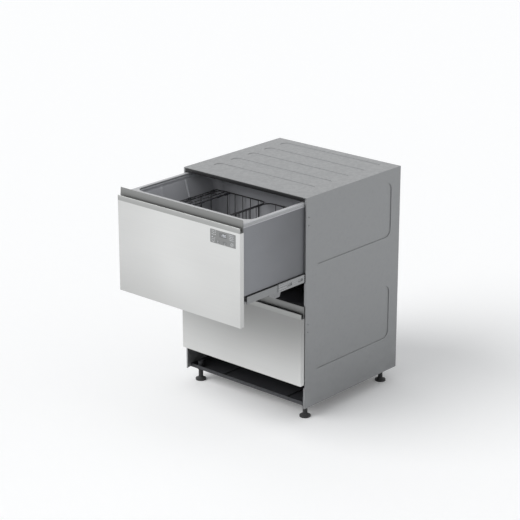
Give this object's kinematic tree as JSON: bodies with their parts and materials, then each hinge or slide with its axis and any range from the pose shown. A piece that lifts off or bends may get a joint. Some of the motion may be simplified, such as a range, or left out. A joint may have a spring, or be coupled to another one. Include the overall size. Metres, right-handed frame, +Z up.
{
  "type": "double drawer dishwasher",
  "caption": "Built-in dishwasher with an upper and a lower drawer on telescopic runners, steel fronts with finger channels, racks, lids and spray arms.",
  "frame": {"origin": "on the floor, under the middle of the machine's box with the upper drawer standing open 327 mm", "axes": "+X to the right seen from the front, +Y to the back, +Z up; the fronts face -Y"},
  "size_m": [0.599, 0.9, 0.865],
  "materials": {
    "front_steel": "brushed along its width",
    "handle_steel": "darker brushed strip",
    "chassis_sheet": "galvanised sheet, dull",
    "black_trim": "moulded, fine grain",
    "shelf_sheet": "black powder coat",
    "tray_sheet": "dark powder coat",
    "runner_steel": "zinc plated",
    "carriage_steel": "zinc plated",
    "valve_white": "moulded",
    "bracket_steel": "zinc plated",
    "foot_plastic": "moulded",
    "lid_plastic": "moulded",
    "seal_rubber": "soft",
    "door_plastic": "moulded, fine grain",
    "tub_plastic": "moulded, satin",
    "skin_plastic": "satin blue grey",
    "rack_wire": "plastic coating on steel wire",
    "basket_plastic": "moulded",
    "arm_plastic": "moulded, satin",
    "filter_plastic": "moulded",
    "motor_black": "dull",
    "dispenser_plastic": "moulded, satin",
    "fascia_plastic": "dark satin",
    "key_plastic": "dark satin",
    "window_smoke": "smoked, glossy"
  },
  "bodies": {
    "chassis": {"chassis_left_side": "chassis_sheet", "chassis_right_side": "chassis_sheet", "chassis_back_panel": "chassis_sheet", "chassis_top_panel": "chassis_sheet", "front_top_trim": "black_trim", "middle_panel": "shelf_sheet", "middle_rail": "black_trim", "base_tray": "tray_sheet", "upper_tracks": "runner_steel", "lower_tracks": "runner_steel", "lid_actuators": "black_trim", "water_inlet_valve": "valve_white", "drain_connector": "black_trim", "mounting_brackets": "bracket_steel"},
    "foot_front_left": {"foot_front_left": "foot_plastic"},
    "foot_front_right": {"foot_front_right": "foot_plastic"},
    "foot_rear_left": {"foot_rear_left": "foot_plastic"},
    "foot_rear_right": {"foot_rear_right": "foot_plastic"},
    "upper_drawer": {"upper_front_panel": "front_steel", "upper_handle": "handle_steel", "upper_door_frame": "door_plastic", "upper_tub": "tub_plastic", "upper_side_skins": "skin_plastic", "upper_rails": "runner_steel", "upper_base_racks": "rack_wire", "upper_cutlery_basket": "basket_plastic", "upper_filter_plate": "filter_plastic", "upper_drain_filter": "filter_plastic", "upper_motor": "motor_black", "upper_dispenser": "dispenser_plastic", "control_fascia": "fascia_plastic", "display_window": "window_smoke"},
    "upper_carriages": {"upper_carriages": "carriage_steel"},
    "upper_lid": {"upper_lid": "lid_plastic", "upper_lid_seal": "seal_rubber"},
    "upper_cup_rack": {"upper_cup_rack": "rack_wire"},
    "upper_spray_arm": {"upper_spray_arm": "arm_plastic"},
    "upper_dispenser_lid": {"upper_dispenser_lid": "lid_plastic"},
    "lower_drawer": {"lower_front_panel": "front_steel", "lower_handle": "handle_steel", "lower_door_frame": "door_plastic", "lower_tub": "tub_plastic", "lower_side_skins": "skin_plastic", "lower_rails": "runner_steel", "lower_base_racks": "rack_wire", "lower_cutlery_basket": "basket_plastic", "lower_filter_plate": "filter_plastic", "lower_drain_filter": "filter_plastic", "lower_motor": "motor_black", "lower_dispenser": "dispenser_plastic"},
    "lower_carriages": {"lower_carriages": "carriage_steel"},
    "lower_lid": {"lower_lid": "lid_plastic", "lower_lid_seal": "seal_rubber"},
    "lower_cup_rack": {"lower_cup_rack": "rack_wire"},
    "lower_spray_arm": {"lower_spray_arm": "arm_plastic"},
    "lower_dispenser_lid": {"lower_dispenser_lid": "lid_plastic"},
    "power_key": {"power_key": "key_plastic"},
    "program_key": {"program_key": "key_plastic"},
    "option_key": {"option_key": "key_plastic"},
    "start_key": {"start_key": "key_plastic"}
  },
  "joints": [
    {"name": "foot_front_left_turn", "type": "hinge", "parent": "chassis", "child": "foot_front_left", "pos_m": [-0.2655, -0.057, 0.05], "axis": [0, 0, 1], "continuous": true},
    {"name": "foot_front_right_turn", "type": "hinge", "parent": "chassis", "child": "foot_front_right", "pos_m": [0.2655, -0.057, 0.05], "axis": [0, 0, 1], "continuous": true},
    {"name": "foot_rear_left_turn", "type": "hinge", "parent": "chassis", "child": "foot_rear_left", "pos_m": [-0.2655, 0.398, 0.05], "axis": [0, 0, 1], "continuous": true},
    {"name": "foot_rear_right_turn", "type": "hinge", "parent": "chassis", "child": "foot_rear_right", "pos_m": [0.2655, 0.398, 0.05], "axis": [0, 0, 1], "continuous": true},
    {"name": "upper_drawer_slide", "type": "slide", "parent": "chassis", "child": "upper_drawer", "axis": [0, -1, 0], "range_m": [-0.327, 0.16]},
    {"name": "upper_carriage_slide", "type": "slide", "parent": "chassis", "child": "upper_carriages", "axis": [0, -1, 0], "range_m": [-0.1635, 0.08]},
    {"name": "upper_lid_lower", "type": "slide", "parent": "chassis", "child": "upper_lid", "axis": [0, 0, -1], "range_m": [0, 0.0047]},
    {"name": "upper_cup_rack_fold", "type": "hinge", "parent": "upper_drawer", "child": "upper_cup_rack", "pos_m": [-0.236, -0.161, 0.7642], "axis": [0, -1, 0], "range_deg": [0, 88]},
    {"name": "upper_spray_arm_spin", "type": "hinge", "parent": "upper_drawer", "child": "upper_spray_arm", "pos_m": [0, -0.1695, 0.554], "axis": [0, 0, 1], "continuous": true},
    {"name": "upper_dispenser_lid_slide", "type": "slide", "parent": "upper_drawer", "child": "upper_dispenser_lid", "axis": [1, 0, 0], "range_m": [0, 0.046]},
    {"name": "lower_drawer_slide", "type": "slide", "parent": "chassis", "child": "lower_drawer", "axis": [0, -1, 0], "range_m": [0, 0.487]},
    {"name": "lower_carriage_slide", "type": "slide", "parent": "chassis", "child": "lower_carriages", "axis": [0, -1, 0], "range_m": [0, 0.2435]},
    {"name": "lower_lid_lower", "type": "slide", "parent": "chassis", "child": "lower_lid", "axis": [0, 0, -1], "range_m": [0, 0.0047]},
    {"name": "lower_cup_rack_fold", "type": "hinge", "parent": "lower_drawer", "child": "lower_cup_rack", "pos_m": [-0.236, 0.166, 0.3552], "axis": [0, -1, 0], "range_deg": [0, 88]},
    {"name": "lower_spray_arm_spin", "type": "hinge", "parent": "lower_drawer", "child": "lower_spray_arm", "pos_m": [0, 0.1575, 0.145], "axis": [0, 0, 1], "continuous": true},
    {"name": "lower_dispenser_lid_slide", "type": "slide", "parent": "lower_drawer", "child": "lower_dispenser_lid", "axis": [1, 0, 0], "range_m": [0, 0.046]},
    {"name": "power_key_press", "type": "slide", "parent": "upper_drawer", "child": "power_key", "axis": [0, 1, 0], "range_m": [0, 0.001], "stiffness_N_per_m": 400},
    {"name": "program_key_press", "type": "slide", "parent": "upper_drawer", "child": "program_key", "axis": [0, 1, 0], "range_m": [0, 0.001], "stiffness_N_per_m": 400},
    {"name": "option_key_press", "type": "slide", "parent": "upper_drawer", "child": "option_key", "axis": [0, 1, 0], "range_m": [0, 0.001], "stiffness_N_per_m": 400},
    {"name": "start_key_press", "type": "slide", "parent": "upper_drawer", "child": "start_key", "axis": [0, 1, 0], "range_m": [0, 0.001], "stiffness_N_per_m": 400}
  ],
  "couplings": [
    {"joint": "upper_carriage_slide", "follows": "upper_drawer_slide", "ratio": 0.5},
    {"joint": "lower_carriage_slide", "follows": "lower_drawer_slide", "ratio": 0.5}
  ]
}
